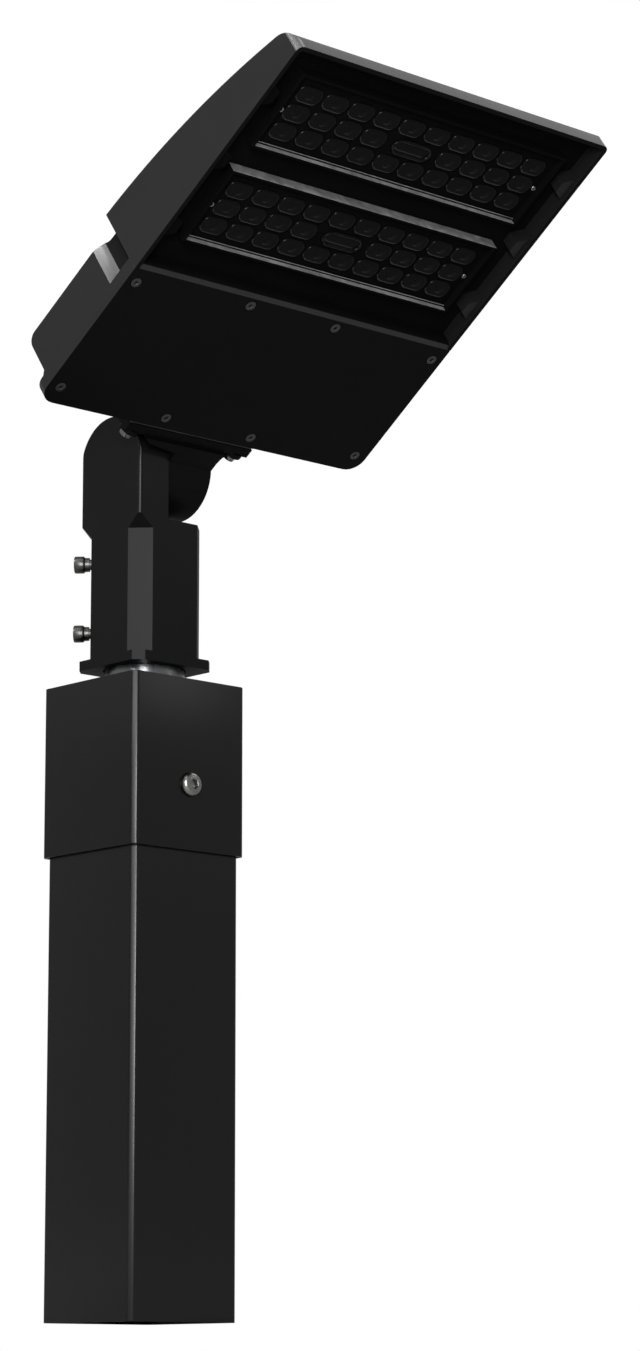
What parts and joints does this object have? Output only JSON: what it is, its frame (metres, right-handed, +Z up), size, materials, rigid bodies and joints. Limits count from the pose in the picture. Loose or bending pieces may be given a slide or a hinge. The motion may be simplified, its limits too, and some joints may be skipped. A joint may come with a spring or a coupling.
{
  "type": "shoebox area light",
  "caption": "Tilting LED shoebox area light with a slip fitter on the tenon adapter of a square pole top.",
  "frame": {"origin": "centre of the pole section's lower cut end, on the pole's axis", "axes": "+Z up along the pole, X along the tilt hinge, -Y the way the head points, the lit face down and forward"},
  "size_m": [0.3116, 0.4009, 0.854],
  "materials": {
    "pole_paint": "black powder coat on steel",
    "cast_black": "black powder coat on cast aluminium",
    "zinc_tube": "bright zinc plate",
    "stainless": "bright stainless",
    "gasket": "matt silicone rubber",
    "lens": "moulded optics, dark when unlit",
    "board": "white solder mask on a metal core board",
    "phosphor": "LED packages",
    "driver_case": "potted metal case",
    "surge_case": "moulded black case",
    "terminal": "moulded terminal block"
  },
  "bodies": {
    "pole": {"pole_section": "pole_paint", "tenon_adapter": "pole_paint", "tenon": "zinc_tube", "clamp_screws": "stainless", "clamp_nuts": "zinc_tube"},
    "fitter": {"slip_fitter": "cast_black", "set_bolts": "stainless", "pivot_bolt": "stainless", "pivot_washer": "stainless", "pivot_spring_washer": "stainless"},
    "head": {"knuckle_arm": "cast_black", "arm_gasket": "gasket", "arm_bolts": "stainless", "arm_washers": "stainless", "housing": "cast_black", "door": "cast_black", "door_gasket": "gasket", "door_screws": "stainless", "led_board_lower": "board", "led_board_upper": "board", "led_chips_lower": "phosphor", "led_chips_upper": "phosphor", "lens_plate_lower": "lens", "lens_plate_upper": "lens", "lens_gasket_lower": "gasket", "lens_gasket_upper": "gasket", "module_frame_lower": "cast_black", "module_frame_upper": "cast_black", "module_screws_lower": "stainless", "module_screws_upper": "stainless", "driver": "driver_case", "driver_screws": "stainless", "surge_protector": "surge_case", "terminal_block": "terminal", "wire_grommet": "gasket"}
  },
  "joints": [
    {"name": "fitter_swivel", "type": "hinge", "parent": "pole", "child": "fitter", "pos_m": [0, 0, 0.52], "axis": [0, 0, 1], "range_deg": [-180, 180]},
    {"name": "head_tilt", "type": "hinge", "parent": "fitter", "child": "head", "pos_m": [0, 0, 0.6371], "axis": [-1, 0, 0], "range_deg": [-34.5, 55.5]}
  ]
}
